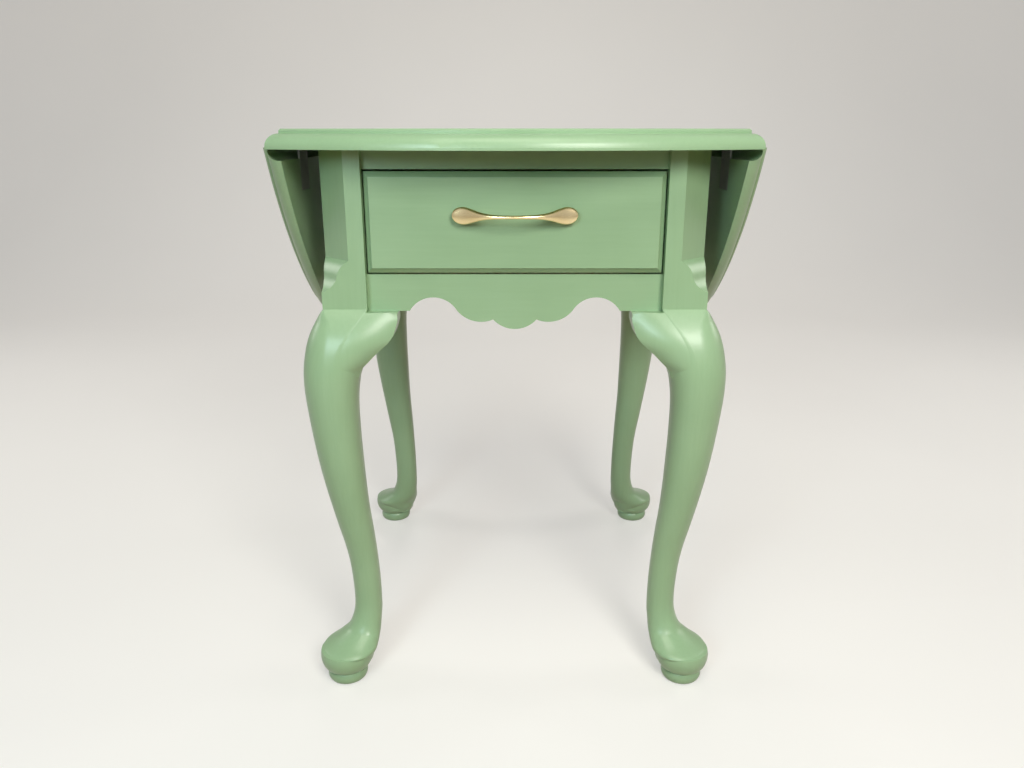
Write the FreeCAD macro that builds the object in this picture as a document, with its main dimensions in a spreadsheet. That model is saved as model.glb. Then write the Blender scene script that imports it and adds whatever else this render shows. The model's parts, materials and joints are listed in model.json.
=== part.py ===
import FreeCAD, Part
import math
import os
import Sketcher

# Drop-leaf side table with cabriole legs and one drawer.
# Millimetres, +Z up, origin on the floor under the middle of the table, drawer front towards -Y.
# It stands with both leaves hanging. Leaf pieces are drawn raised and then swung down about the hinge pin.

V = FreeCAD.Vector
doc = FreeCAD.newDocument("drop_leaf_side_table")
sheet = doc.addObject("Spreadsheet::Sheet", "Sizes")

SIZES = (
    # Table top and rule joint
    ("table_height", 575), ("top_thickness", 17.5), ("top_half_width", 222),
    ("oval_half_length", 400), ("oval_half_width", 260), ("oval_end_radius", 100),
    ("rule_radius", 11.5), ("rule_quirk", 4), ("edge_ease", 1.6),
    ("rule_clearance", 0.5), ("leaf_gap", 0.6),
    # Case and posts
    ("side_overhang", 38.6), ("front_overhang", 68.2), ("post_width", 42.5),
    ("post_length", 147), ("cant_width", 27.2), ("cant_rise", 46.3), ("tongue_length", 30),
    # Cabriole legs and feet
    ("knee_reach", 22.7), ("knee_drop", 112.5), ("leg_sweep", 15.2),
    ("foot_rim_radius", 27), ("foot_rim_height", 35.4), ("foot_crown_rise", 3),
    ("foot_base_radius", 21.5), ("foot_base_height", 12),
    ("foot_neck_radius", 19.8), ("foot_neck_height", 13.5),
    ("glide_radius", 10), ("glide_thickness", 1.2), ("glide_nail_radius", 1.5), ("glide_nail_length", 11),
    # Knee blocks
    ("ear_reach", 29.1), ("ear_drop", 66.5), ("ear_proud", 4), ("ear_depth", 14), ("ear_inset", 0.3),
    # Rails and aprons
    ("apron_thickness", 20), ("apron_recess", 8), ("apron_drop", 3),
    ("opening_top", 35.3), ("front_apron_height", 35.4),
    ("scallop_half", 101.3), ("scallop_depth", 18),
    ("tenon_length", 18), ("tenon_thickness", 10), ("tenon_shoulder", 6), ("mortise_spare", 1),
    # Drawer supports
    ("runner_height", 18), ("runner_ledge", 22.9), ("guide_height", 20), ("kicker_width", 30),
    ("stop_height", 15), ("stop_length", 14), ("cleat_width", 18), ("running_gap", 0.3),
    # Drawer
    ("drawer_side_gap", 1.5), ("drawer_gap", 1.8),
    ("drawer_front_thickness", 20), ("drawer_front_inset", 0.5),
    ("border_width", 5.2), ("border_bevel", 4.6), ("field_step", 2),
    ("drawer_side_thickness", 12), ("drawer_side_drop", 8.5), ("drawer_rear_gap", 25),
    ("drawer_bottom_thickness", 5), ("drawer_bottom_rise", 9), ("groove_depth", 5), ("groove_play", 0.2),
    ("tail_length", 11), ("tail_height", 14), ("tail_slope", 2),
    # Drawer pull
    ("pull_half_length", 57.8), ("pull_lobe_height", 15.8), ("pull_lobe_thickness", 4.8),
    ("pull_projection", 24), ("pull_spacing", 96), ("pull_rise", 8),
    ("pull_post_radius", 4), ("pull_screw_radius", 2), ("pull_screw_bite", 5), ("pull_screw_play", 0.2),
    ("pull_head_radius", 4), ("pull_head_height", 2.4),
    # Rule joint hinges
    ("hinge_width", 32), ("hinge_thickness", 1.8), ("hinge_table_reach", 28), ("hinge_leaf_reach", 42),
    ("knuckle_radius", 2.8), ("hinge_pin_radius", 1.4),
    ("pin_play", 0.05), ("knuckle_gap", 0.3), ("hinge_play", 0.4),
    # Wood screws
    ("screw_radius", 1.5), ("screw_head_radius", 2.9), ("screw_head_height", 1.4), ("screw_bite", 10),
    ("screw_play", 0.1), ("screw_setback", 7), ("screw_offset", 8),
    ("top_screw_radius", 2), ("top_screw_head_radius", 4),
    ("top_screw_head_height", 2.6), ("top_screw_bite", 10),
    # Folding stays
    ("stay_in", 14), ("stay_down", 12), ("stay_out", 105), ("stay_off", 12),
    ("strip_half_width", 4.5), ("strip_thickness", 2), ("strip_gap", 0.3),
    ("stay_pin_radius", 2), ("rivet_head_radius", 3.4), ("rivet_head_height", 1.2),
    ("bracket_half_length", 16), ("bracket_thickness", 2), ("bracket_width", 12),
    # Cuts run past the faces they open by this much
    ("overrun", 30),
)

# Knee sections from the crease down: share of the knee's drop, of its reach outwards, of the leg's sweep
# on the inner side, and the corner rounding as a share of half the section
KNEE_SHARES = (
    (0, 0, 0, 0.04), (0.031, 0.137, 0.033, 0.14), (0.0667, 0.262, 0.053, 0.28), (0.12, 0.426, 0.099, 0.45),
    (0.2, 0.64, 0.23, 0.62), (0.298, 0.822, 0.352, 0.76), (0.449, 0.976, 0.53, 0.86),
    (0.618, 1.035, 0.745, 0.9), (0.796, 0.996, 0.91, 0.9), (1, 0.907, 0.945, 0.9),
)
# Sections between knee and ankle: share of the way up from the ankle, then as above
SHIN_SHARES = (
    (0.895, 0.792, 0.93, 0.9), (0.769, 0.62, 0.875, 0.9), (0.6134, 0.345, 0.785, 0.9),
    (0.4454, 0.01, 0.59, 0.9), (0.2731, -0.27, 0.425, 0.92), (0.1597, -0.345, 0.362, 0.94),
    (0.0882, -0.35, 0.352, 0.95), (0.0378, -0.292, 0.365, 0.95),
)
# Sections from the ankle on into the foot: share of the rim's height, of the rim's radius
# outwards and inwards, and the corner rounding
TOE_SHARES = (
    (1.695, -0.148, 1.342, 0.95), (1.497, -0.018, 1.322, 0.95), (1.328, 0.226, 1.304, 0.95),
    (1.186, 0.52, 1.281, 0.95), (1.088, 0.78, 1.259, 0.95), (1, 0.96, 1.23, 0.95),
    (0.847, 0.763, 1.148, 0.95), (0.678, 0.382, 1.037, 0.95), (0.508, 0, 0.919, 0.95),
)
# The tongue under each cant: share of the cant's width and share of the tongue's length
TONGUE_SHARES = ((1, 0), (0.71, 0.21), (0.56, 0.495), (0.38, 0.795), (0, 1))
# Knee block sections from the apron down: share of its drop, of its width from the post's corner,
# and of the way its tip and its back lean out to the knee
EAR_SHARES = (
    (0, 1, 0.3, 0), (0.098, 0.99, 0.32, 0), (0.182, 0.976, 0.35, 0), (0.278, 0.948, 0.38, 0),
    (0.376, 0.904, 0.41, 0), (0.465, 0.832, 0.43, 0), (0.553, 0.737, 0.44, 0.02), (0.644, 0.648, 0.44, 0.06),
    (0.734, 0.568, 0.43, 0.12), (0.853, 0.473, 0.39, 0.24), (1, 0.405, 0.33, 0.36),
)
# Scalloped lower edge of the front apron from its flat towards the middle: share of half its width
# and of its depth
SCALLOP_SHARES = ((1, 0), (0.771, -0.728), (0.549, 0), (0.332, 0.606), (0.207, 0.478), (0, 1))
# Bowl of the turned foot from its neck to its rim: share of the rim's radius and share of the way up
BOWL_SHARES = ((0.905, 0.137), (0.99, 0.342), (1.04, 0.685))
# Crown of the turned foot from its rim inwards: share of the rim's radius and share of the crown's rise
CROWN_SHARES = ((0.86, 0.3), (0.58, 0.8), (0, 1))
# Hinges as a share of the oval's half width, outer top screws as a share of the case between posts
HINGE_SHARE = 0.46
TOP_SCREW_SHARE = 0.7
# Drawer pull from its tip to the middle: shares of the half length, projection, lobe height
# and lobe thickness
PULL_SHARES = (
    (0.997, 0.258, 0.19, 0.42), (0.972, 0.267, 0.57, 0.67), (0.917, 0.292, 0.86, 0.83),
    (0.83, 0.35, 1, 0.96), (0.727, 0.467, 0.89, 1), (0.606, 0.633, 0.61, 0.96),
    (0.467, 0.8, 0.37, 0.92), (0.26, 0.942, 0.24, 0.88), (0, 1, 0.21, 0.88),
)
# Middles of the dovetails on a drawer side as shares of its height
TAIL_SHARES = (0.3, 0.58, 0.86)


class Size:
    """A length worked out from sheet cells: its expression and its present value."""

    def __init__(self, text, value):
        self.text = text
        self.value = float(value)

    def __float__(self):
        return self.value

    def __add__(self, other):
        other = as_size(other)
        return Size(f"({self.text} + {other.text})", self.value + other.value)

    def __sub__(self, other):
        other = as_size(other)
        return Size(f"({self.text} - {other.text})", self.value - other.value)

    def __mul__(self, other):
        other = as_size(other)
        return Size(f"({self.text} * {other.text})", self.value * other.value)

    def __truediv__(self, other):
        other = as_size(other)
        return Size(f"({self.text} / {other.text})", self.value / other.value)

    def __neg__(self):
        return Size(f"(0 - {self.text})", -self.value)

    __rmul__ = __mul__


def as_size(item):
    return item if isinstance(item, Size) else Size(f"({item})", item)


def root(item):
    return Size(f"sqrt({item.text})", math.sqrt(item.value))


class Names:
    """The sheet's cells by name."""


size = Names()
for row, (alias, number) in enumerate(SIZES, start=1):
    sheet.set(f"A{row}", alias)
    sheet.set(f"B{row}", str(number))
    sheet.setAlias(f"B{row}", alias)
doc.recompute()
for alias, _ in SIZES:
    setattr(size, alias, Size(f"Sizes.{alias}", sheet.get(alias)))

ZERO = as_size(0)
nodes = []


# Building blocks

def node(label, item):
    """Keep a finished piece under its own name."""
    item.Label = label
    nodes.append(item)
    return item


def bind(item, path, length):
    item.setExpression(path, as_size(length).text)


def place(item, x, y, z):
    for axis, length in zip("xyz", (x, y, z)):
        bind(item, f"Placement.Base.{axis}", length)


def block(xs, ys, zs):
    """A box between pairs of coordinates."""
    item = doc.addObject("Part::Box", "block")
    for path, (low, high) in zip(("Length", "Width", "Height"), (xs, ys, zs)):
        bind(item, path, high - low)
    place(item, xs[0], ys[0], zs[0])
    return item


AXES = {"x": V(1, 0, 0), "y": V(0, 1, 0), "z": V(0, 0, 1)}


def start_of(axis, span, cross):
    """The start point of a round piece that lies along an axis."""
    if axis == "x":
        return (span[0], cross[0], cross[1])
    if axis == "y":
        return (cross[0], span[0], cross[1])
    return (cross[0], cross[1], span[0])


def rod(axis, span, cross, radius):
    """A cylinder along an axis, over a span, through a point of the other two axes."""
    item = doc.addObject("Part::Cylinder", "rod")
    item.Placement = FreeCAD.Placement(V(), FreeCAD.Rotation(V(0, 0, 1), AXES[axis]))
    bind(item, "Radius", radius)
    bind(item, "Height", span[1] - span[0])
    place(item, *start_of(axis, span, cross))
    return item


def taper(axis, span, cross, first_radius, last_radius):
    """A cone along an axis."""
    item = doc.addObject("Part::Cone", "taper")
    item.Placement = FreeCAD.Placement(V(), FreeCAD.Rotation(V(0, 0, 1), AXES[axis]))
    bind(item, "Radius1", first_radius)
    bind(item, "Radius2", last_radius)
    bind(item, "Height", span[1] - span[0])
    place(item, *start_of(axis, span, cross))
    return item


def join(*items):
    item = doc.addObject("Part::MultiFuse", "join")
    item.Shapes = list(items)
    item.Refine = True
    return item


def group(*items):
    item = doc.addObject("Part::Compound", "group")
    item.Links = list(items)
    return item


def carve(base, *tools):
    item = doc.addObject("Part::Cut", "carve")
    item.Base = base
    item.Tool = tools[0] if len(tools) == 1 else join(*tools)
    return item


def shaped(shape, placement=None):
    """A piece whose shape is set directly."""
    item = doc.addObject("Part::Feature", "shaped")
    item.Shape = shape
    if placement:
        item.Placement = placement
    return item


def span_of(side, low, high):
    """A span on the right of the middle, or its mirror image on the left."""
    return (low, high) if side > 0 else (-high, -low)


def solid_box(xs, ys, zs):
    """A plain box for shapes that are set directly."""
    low = V(*(float(pair[0]) for pair in (xs, ys, zs)))
    high = V(*(float(pair[1]) for pair in (xs, ys, zs)))
    return Part.makeBox(high.x - low.x, high.y - low.y, high.z - low.z, low)


def arc(first, way, last):
    return Part.Arc(first, way, last).toShape()


def line(first, last):
    return Part.LineSegment(first, last).toShape()


def face_of(*edges):
    return Part.Face(Part.Wire(Part.__sortEdges__(list(edges))))


def own_plane(body, role):
    return next(plane for plane in body.Origin.OriginFeatures if plane.Role == role)


def flat(point):
    return V(float(point[0]), float(point[1]), 0)


def turn_range(curve, points):
    """Start and end angle of an arc, counted the way a sketch counts them."""
    angles = [math.atan2(point.y - curve.Center.y, point.x - curve.Center.x) for point in points]
    full = 2 * math.pi
    forwards = (angles[1] - angles[0]) % full < (angles[2] - angles[0]) % full
    return (angles[0], angles[2]) if forwards else (angles[2], angles[0])


def hold_point(sketch, geometry, position, point, name):
    """Hold a sketch point at sheet-driven distances from the origin."""
    for kind, letter, length in zip(("DistanceX", "DistanceY"), "xy", point):
        index = sketch.addConstraint(Sketcher.Constraint(kind, -1, 1, geometry, position, float(length)))
        sketch.renameConstraint(index, f"{name}{letter}")
        bind(sketch, f"Constraints.{name}{letter}", length)


def draw(sketch, start, steps):
    """Draw a closed outline. A step is (end point,) for a line or (way point, end point) for an arc."""
    corners = [start] + [step[-1] for step in steps]
    for index, step in enumerate(steps):
        first, last = flat(corners[index]), flat(step[-1])
        if len(step) == 1:
            sketch.addGeometry(Part.LineSegment(first, last), False)
        else:
            points = (first, flat(step[0]), last)
            curve = Part.Arc(*points).toShape().Curve
            circle = Part.Circle(curve.Center, V(0, 0, 1), curve.Radius)
            sketch.addGeometry(Part.ArcOfCircle(circle, *turn_range(curve, points)), False)
    ends = []
    for index in range(len(steps)):
        first = flat(corners[index])
        to_start, to_end = (sketch.getPoint(index, spot).distanceToPoint(first) for spot in (1, 2))
        ends.append((1, 2) if to_start < to_end else (2, 1))
    for index in range(len(steps)):
        after = (index + 1) % len(steps)
        sketch.addConstraint(Sketcher.Constraint("Coincident", index, ends[index][1], after, ends[after][0]))
    for index in range(len(steps)):
        hold_point(sketch, index, ends[index][0], corners[index], f"corner{index}")
    for index, step in enumerate(steps):
        if len(step) == 2:
            point = sketch.addGeometry(Part.Point(flat(step[0])), True)
            hold_point(sketch, point, 1, step[0], f"way{index}")
            sketch.addConstraint(Sketcher.Constraint("PointOnObject", point, 1, index))


def rectangle(low, high):
    """Start and steps of a rectangle between two corners."""
    return low, (((high[0], low[1]),), (high,), ((low[0], high[1]),), (low,))


def pad(body, role, outline, offset, depth, backwards=False):
    """Pad an outline that lies at an offset along its plane's normal."""
    sketch = body.newObject("Sketcher::SketchObject", "outline")
    sketch.AttachmentSupport = [(own_plane(body, role), "")]
    sketch.MapMode = "FlatFace"
    bind(sketch, "AttachmentOffset.Base.z", offset)
    draw(sketch, *outline)
    feature = body.newObject("PartDesign::Pad", "pad")
    feature.Profile = sketch
    feature.Reversed = backwards
    bind(feature, "Length", depth)
    doc.recompute()
    return feature


# Shared places

top_z = size.table_height
under_z = top_z - size.top_thickness
pivot_x = size.top_half_width - size.rule_radius
pivot_z = top_z - size.rule_quirk - size.rule_radius
knee_z = under_z - size.post_length
case_half_width = size.top_half_width - size.side_overhang
case_half_depth = size.oval_half_width - size.front_overhang
post_in_x = case_half_width - size.post_width
post_in_y = case_half_depth - size.post_width
apron_out_x = case_half_width - size.apron_recess
apron_in_x = apron_out_x - size.apron_thickness
apron_out_y = case_half_depth - size.apron_recess
apron_in_y = apron_out_y - size.apron_thickness
apron_low_z = knee_z - size.apron_drop
opening_high_z = top_z - size.opening_top
opening_low_z = apron_low_z + size.front_apron_height
cheek = (size.apron_thickness - size.tenon_thickness) / 2
SIDES = (("left", -1), ("right", 1))
ENDS = (("front", -1), ("rear", 1))


# Table top and leaves, cut from one moulded oval

def oval_arcs():
    """Centre, radius, first angle and turn of the oval's four tangent arcs."""
    half_length, half_width = float(size.oval_half_length), float(size.oval_half_width)
    end_radius = float(size.oval_end_radius)
    corner = half_length ** 2 + half_width ** 2 - 2 * half_length * end_radius
    side_radius = corner / (2 * (half_width - end_radius))
    end_centre = half_length - end_radius
    side_centre = side_radius - half_width
    lean = math.atan2(side_centre, end_centre)
    return (
        (V(end_centre, 0, 0), end_radius, -lean, 2 * lean),
        (V(0, -side_centre, 0), side_radius, lean, math.pi - 2 * lean),
        (V(-end_centre, 0, 0), end_radius, math.pi - lean, 2 * lean),
        (V(0, side_centre, 0), side_radius, math.pi + lean, math.pi - 2 * lean),
    )


def thumb_edges(point, outer):
    """The thumb moulding from the underside up to the top face, and its two end points."""
    radius, ease = float(size.rule_radius), float(size.edge_ease)
    low, level, high = float(under_z), float(pivot_z), float(top_z)
    half = radius * math.sqrt(0.5)
    bottom, lip = point(outer, low), point(outer, level)
    crown = point(outer - radius, level + radius)
    arris = point(outer - radius, high - ease)
    inner = point(outer - radius - ease, high)
    curve = arc(lip, point(outer - radius + half, level + half), crown)
    return [line(bottom, lip), curve, line(crown, arris), line(arris, inner)], bottom, inner


def moulded_oval():
    """The whole raised top as one oval board with its thumb moulding."""
    overrun = float(size.overrun)
    low, high = float(under_z), float(top_z)
    rim, cutters = [], []
    for centre, radius, first, turn in oval_arcs():
        def on_plan(angle):
            return V(centre.x + radius * math.cos(angle), centre.y + radius * math.sin(angle), low)

        def in_section(distance, height):
            return V(centre.x + distance * math.cos(first), centre.y + distance * math.sin(first), height)

        rim.append(arc(on_plan(first), on_plan(first + turn / 2), on_plan(first + turn)))
        edges, bottom, inner = thumb_edges(in_section, radius)
        far_low = in_section(radius + overrun, low)
        far_high = in_section(radius + overrun, high + overrun)
        near_high = in_section(radius - float(size.rule_radius + size.edge_ease), high + overrun)
        corners = (bottom, far_low, far_high, near_high, inner)
        edges.extend(line(*pair) for pair in zip(corners, corners[1:]))
        cutters.append(face_of(*edges).revolve(centre, V(0, 0, 1), math.degrees(turn)))
    board = face_of(*rim).extrude(V(0, 0, high - low))
    for cutter in cutters:
        board = board.cut(cutter)
    return board


hinge_spread = size.oval_half_width * HINGE_SHARE


def hinge_span(end):
    middle = end * hinge_spread
    return middle - size.hinge_width / 2, middle + size.hinge_width / 2


def hinge_pockets(side):
    """Recesses for plates and knuckles in the underside, in the raised position."""
    play = size.hinge_play
    pockets = []
    for _, end in ENDS:
        low_y, high_y = hinge_span(end)
        span_y = (low_y - play, high_y + play)
        table_x, leaf_x = pivot_x - size.hinge_table_reach, pivot_x + size.hinge_leaf_reach
        span_x = span_of(side, table_x - play, leaf_x + play)
        span_z = (under_z - size.overrun, under_z + size.hinge_thickness + play)
        pockets.append(solid_box(span_x, span_y, span_z))
        base = V(float(side * pivot_x), float(span_y[0]), float(pivot_z))
        reach = float(span_y[1] - span_y[0])
        pockets.append(Part.makeCylinder(float(size.knuckle_radius + play), reach, base, V(0, 1, 0)))
    return pockets


def hinge_screw_places(side, reach, sign):
    """Screw places of the two plates on one side; sign is -1 on the table and 1 on the leaf."""
    x = side * (pivot_x + sign * (reach - size.screw_setback))
    rows = [(end, row) for _, end in ENDS for row in (-1, 1)]
    return [(x, end * hinge_spread + row * size.screw_offset) for end, row in rows]


def top_screw_places(side):
    x = side * (apron_in_x - size.cleat_width / 2)
    return [(x, step * TOP_SCREW_SHARE * post_in_y) for step in (-1, 0, 1)]


# Planes across the stay: apron hook, arm, link and leaf lug lie side by side
arm_y = (-size.strip_thickness / 2, size.strip_thickness / 2)
link_y = (arm_y[1] + size.strip_gap, arm_y[1] + size.strip_gap + size.strip_thickness)
lug_y = (link_y[1] + size.strip_gap, link_y[1] + size.strip_gap + size.strip_thickness)
hook_y = (arm_y[0] - size.strip_gap - size.strip_thickness, arm_y[0] - size.strip_gap)


def lug_screw_places(side):
    """Screws of a stay's leaf bracket, in the raised position."""
    x = side * (pivot_x + size.stay_out)
    shift = size.bracket_half_length - size.screw_setback
    y = lug_y[1] + size.bracket_width / 2
    return [(x - shift, y), (x + shift, y)]


def bored(board, places, radius, depth):
    """Screw holes up into the underside."""
    for x, y in places:
        base = V(float(x), float(y), float(under_z))
        board = board.cut(Part.makeCylinder(float(radius + size.screw_play), float(depth), base, V(0, 0, 1)))
    return board


def make_top():
    reach_y = size.oval_half_width + size.overrun
    edges, ends = [], []
    for _, side in SIDES:
        def in_section(distance, height):
            return V(side * distance, -float(reach_y), height)

        side_edges, bottom, inner = thumb_edges(in_section, float(size.top_half_width))
        edges.extend(side_edges)
        ends.append((bottom, inner))
    edges.extend(line(first, last) for first, last in zip(*ends))
    panel = moulded_oval().common(face_of(*edges).extrude(V(0, float(2 * reach_y), 0)))
    for _, side in SIDES:
        for pocket in hinge_pockets(side):
            panel = panel.cut(pocket)
        places = hinge_screw_places(side, size.hinge_table_reach, -1)
        panel = bored(panel, places, size.screw_radius, size.screw_head_height + size.screw_bite)
        panel = bored(panel, top_screw_places(side), size.top_screw_radius, size.top_screw_bite)
    node("top_panel", shaped(panel))


def hanging(side):
    """Placement that swings a raised leaf piece down about the hinge pin."""
    pin = V(float(side * pivot_x), 0, float(pivot_z))
    return FreeCAD.Placement(V(), FreeCAD.Rotation(V(0, 1, 0), 90 * side), pin)


def swung(item, side):
    """A bound piece drawn raised, swung down with its leaf."""
    holder = group(item)
    holder.Placement = hanging(side)
    return holder


def make_leaf(name, side):
    reach_y = size.oval_half_width + size.overrun
    span_x = span_of(side, pivot_x + size.leaf_gap, size.oval_half_length + size.overrun)
    slab = solid_box(span_x, (-reach_y, reach_y), (under_z - size.overrun, top_z + size.overrun))
    base = V(float(side * pivot_x), -float(reach_y), float(pivot_z))
    cove_radius = float(size.rule_radius + size.rule_clearance)
    cove = Part.makeCylinder(cove_radius, float(2 * reach_y), base, V(0, 1, 0))
    leaf = moulded_oval().common(slab).cut(cove)
    for pocket in hinge_pockets(side):
        leaf = leaf.cut(pocket)
    places = hinge_screw_places(side, size.hinge_leaf_reach, 1) + lug_screw_places(side)
    leaf = bored(leaf, places, size.screw_radius, size.screw_head_height + size.screw_bite)
    node(f"leaf_{name}", shaped(leaf, hanging(side)))


# Rule joint hinges

def screw_head(x, y, level, play):
    """The countersunk head of a wood screw that goes up from a level."""
    span = (level, level + size.screw_head_height)
    return taper("z", span, (x, y), size.screw_head_radius + play, size.screw_radius + play)


def wood_screw(x, y, level):
    neck = level + size.screw_head_height
    shank = rod("z", (neck, neck + size.screw_bite), (x, y), size.screw_radius)
    return join(screw_head(x, y, level, ZERO), shank)


def screw_sinks(places, level, thickness):
    """Countersunk holes through a plate that starts at a level."""
    sinks = []
    for x, y in places:
        sinks.append(screw_head(x, y, level, size.screw_play))
        sinks.append(rod("z", (level, level + thickness), (x, y), size.screw_radius + size.screw_play))
    return sinks


def plate(side, end, sign, reach, places):
    """One hinge plate with its knuckles: two outer ones on the table, the middle one on the leaf."""
    low_y, high_y = hinge_span(end)
    third = size.hinge_width / 3
    if sign < 0:
        spans = ((low_y, low_y + third), (high_y - third, high_y))
    else:
        spans = ((low_y + third + size.knuckle_gap, high_y - third - size.knuckle_gap),)
    plate_z = (under_z, under_z + size.hinge_thickness)
    clear = size.knuckle_radius + size.hinge_play

    def reach_x(near, far):
        if sign < 0:
            return span_of(side, pivot_x - far, pivot_x - near)
        return span_of(side, pivot_x + near, pivot_x + far)

    pieces = [block(reach_x(clear, reach), (low_y, high_y), plate_z)]
    for span in spans:
        pieces.append(rod("y", span, (side * pivot_x, pivot_z), size.knuckle_radius))
        pieces.append(block(reach_x(ZERO, clear), span, plate_z))
    bore = rod("y", (low_y, high_y), (side * pivot_x, pivot_z), size.hinge_pin_radius + size.pin_play)
    return carve(join(*pieces), bore, *screw_sinks(places, under_z, size.hinge_thickness))


def make_hinges(name, side):
    table_plates, leaf_plates, pins = [], [], []
    table_places = hinge_screw_places(side, size.hinge_table_reach, -1)
    leaf_places = hinge_screw_places(side, size.hinge_leaf_reach, 1)
    for index, (_, end) in enumerate(ENDS):
        own = slice(2 * index, 2 * index + 2)
        table_plates.append(plate(side, end, -1, size.hinge_table_reach, table_places[own]))
        leaf_plates.append(plate(side, end, 1, size.hinge_leaf_reach, leaf_places[own]))
        pins.append(rod("y", hinge_span(end), (side * pivot_x, pivot_z), size.hinge_pin_radius))
    node(f"hinge_table_plates_{name}", group(*table_plates))
    node(f"hinge_pins_{name}", group(*pins))
    node(f"hinge_leaf_plates_{name}", swung(group(*leaf_plates), side))
    screws = [wood_screw(x, y, under_z) for x, y in leaf_places]
    screws += [wood_screw(x, y, under_z - size.bracket_thickness) for x, y in lug_screw_places(side)]
    node(f"leaf_screws_{name}", swung(group(*screws), side))


def make_hinge_table_screws():
    screws = []
    for _, side in SIDES:
        places = hinge_screw_places(side, size.hinge_table_reach, -1)
        screws.extend(wood_screw(x, y, under_z) for x, y in places)
    node("hinge_table_screws", group(*screws))


# Folding stays that hold up a raised leaf

def stay_points(side):
    """Apron pivot, leaf pivot and elbow of a folded stay."""
    hook = (pivot_x - size.stay_in, pivot_z - size.stay_down)
    lug = (pivot_x - size.stay_off, pivot_z - size.stay_out)
    raised = (pivot_x + size.stay_out, pivot_z - size.stay_off)

    def distance(first, last):
        run, rise = last[0] - first[0], last[1] - first[1]
        return root(run * run + rise * rise)

    folded, straight = distance(hook, lug), distance(hook, raised)
    past = (straight + folded) / (folded * 2)
    elbow = tuple(start + past * (end - start) for start, end in zip(hook, lug))
    return [(side * x, z) for x, z in (hook, lug, elbow)]


def strip(first, last, span_y):
    """A flat steel strip with round ends and a pivot hole in each."""
    half, thick = float(size.strip_half_width), float(span_y[1] - span_y[0])
    first, last = (V(float(x), float(span_y[0]), float(z)) for x, z in (first, last))
    run = (last - first).normalize()
    out = V(run.z, 0, -run.x)
    corners = [first + out * half, last + out * half, last - out * half, first - out * half]
    edges = (line(corners[0], corners[1]), arc(corners[1], last + run * half, corners[2]),
             line(corners[2], corners[3]), arc(corners[3], first - run * half, corners[0]))
    shape = face_of(*edges).extrude(V(0, thick, 0))
    for centre in (first, last):
        bore = float(size.stay_pin_radius + size.pin_play)
        shape = shape.cut(Part.makeCylinder(bore, thick, centre, V(0, 1, 0)))
    return shape


def hook_screw_place():
    """Height and Y place of the screw in an apron bracket."""
    z = pivot_z - size.stay_down - size.bracket_half_length + size.screw_setback
    return hook_y[1] - size.bracket_width / 2, z


def make_stay(name, side):
    hook, lug, elbow = stay_points(side)
    node(f"stay_arm_{name}", shaped(strip(hook, elbow, arm_y)))
    node(f"stay_link_{name}", shaped(strip(lug, elbow, link_y)))

    plate_x = span_of(side, apron_out_x, apron_out_x + size.bracket_thickness)
    plate_z = (hook[1] - size.bracket_half_length, hook[1] + size.strip_half_width)
    ear_x = span_of(side, apron_out_x, pivot_x - size.stay_in)
    ear_z = (hook[1] - size.strip_half_width, hook[1] + size.strip_half_width)
    bracket = join(block(plate_x, (hook_y[1] - size.bracket_width, hook_y[1]), plate_z),
                   block(ear_x, hook_y, ear_z),
                   rod("y", hook_y, hook, size.strip_half_width),
                   rod("y", (hook_y[0], arm_y[1]), hook, size.stay_pin_radius))
    hole = rod("x", plate_x, hook_screw_place(), size.screw_radius + size.screw_play)
    node(f"stay_apron_bracket_{name}", carve(bracket, hole, bracket_screw_head(side, size.screw_play)))

    head_y = (arm_y[0] - size.rivet_head_height, arm_y[0])
    rivet_head = rod("y", head_y, elbow, size.rivet_head_radius)
    node(f"stay_elbow_rivet_{name}", join(rod("y", arm_y, elbow, size.stay_pin_radius), rivet_head))

    raised = (side * (pivot_x + size.stay_out), pivot_z - size.stay_off)
    foot_x = (raised[0] - size.bracket_half_length, raised[0] + size.bracket_half_length)
    foot_z = (under_z - size.bracket_thickness, under_z)
    lug_x = (raised[0] - size.strip_half_width, raised[0] + size.strip_half_width)
    stand = join(block(foot_x, (lug_y[0], lug_y[1] + size.bracket_width), foot_z),
                 block(lug_x, lug_y, (raised[1], under_z)),
                 rod("y", lug_y, raised, size.strip_half_width),
                 rod("y", (link_y[0], lug_y[1]), raised, size.stay_pin_radius))
    sinks = screw_sinks(lug_screw_places(side), foot_z[0], size.bracket_thickness)
    node(f"stay_leaf_bracket_{name}", swung(carve(stand, *sinks), side))


def bracket_screw_head(side, play):
    """The countersunk head of the screw that holds a stay's bracket on the side apron."""
    face = apron_out_x + size.bracket_thickness
    span = span_of(side, face - size.screw_head_height, face)
    radii = (size.screw_radius + play, size.screw_head_radius + play)
    return taper("x", span, hook_screw_place(), *(radii if side > 0 else radii[::-1]))


def make_stay_apron_screws():
    screws = []
    neck = apron_out_x + size.bracket_thickness - size.screw_head_height
    for _, side in SIDES:
        shank = rod("x", span_of(side, neck - size.screw_bite, neck), hook_screw_place(), size.screw_radius)
        screws.append(join(bracket_screw_head(side, ZERO), shank))
    node("stay_apron_screws", group(*screws))


# Legs, each one piece from post to foot, drawn from the post's outer corner on the floor

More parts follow.
